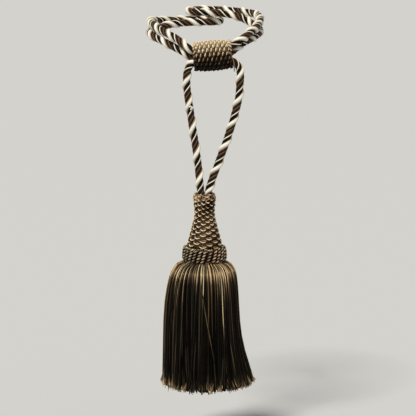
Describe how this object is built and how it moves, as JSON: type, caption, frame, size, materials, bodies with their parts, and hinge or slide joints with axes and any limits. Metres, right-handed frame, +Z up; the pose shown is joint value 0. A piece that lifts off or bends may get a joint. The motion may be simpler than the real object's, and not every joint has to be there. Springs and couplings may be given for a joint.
{
  "type": "curtain tieback tassel",
  "caption": "Curtain tieback of twisted rope: looped arms run through a woven barrel slide and end in two hook eyes, with a tassel of woven head, corded collar and cut skirt below",
  "frame": {"origin": "On the wall hook, in the middle of the two rope eyes that hang on it, halfway between the left and right eye", "axes": "X to the right of someone facing the tieback, Y back into the wall, Z up"},
  "size_m": [0.1022, 0.1638, 0.3153],
  "materials": {
    "rope_yarn": "three-strand twisted rope of cream, tan and dark brown satin yarn",
    "slide_cover": "gold and brown yarn woven round the barrel",
    "head_cover": "gold and brown yarn woven over the mould",
    "collar_yarn": "beige and brown two-ply cords side by side",
    "skirt_yarn": "cut satin threads, gold at the shoulder and dark brown below"
  },
  "bodies": {
    "root": {"rope": "rope_yarn", "slide": "slide_cover", "head": "head_cover", "collar": "collar_yarn", "skirt": "skirt_yarn"}
  },
  "joints": []
}
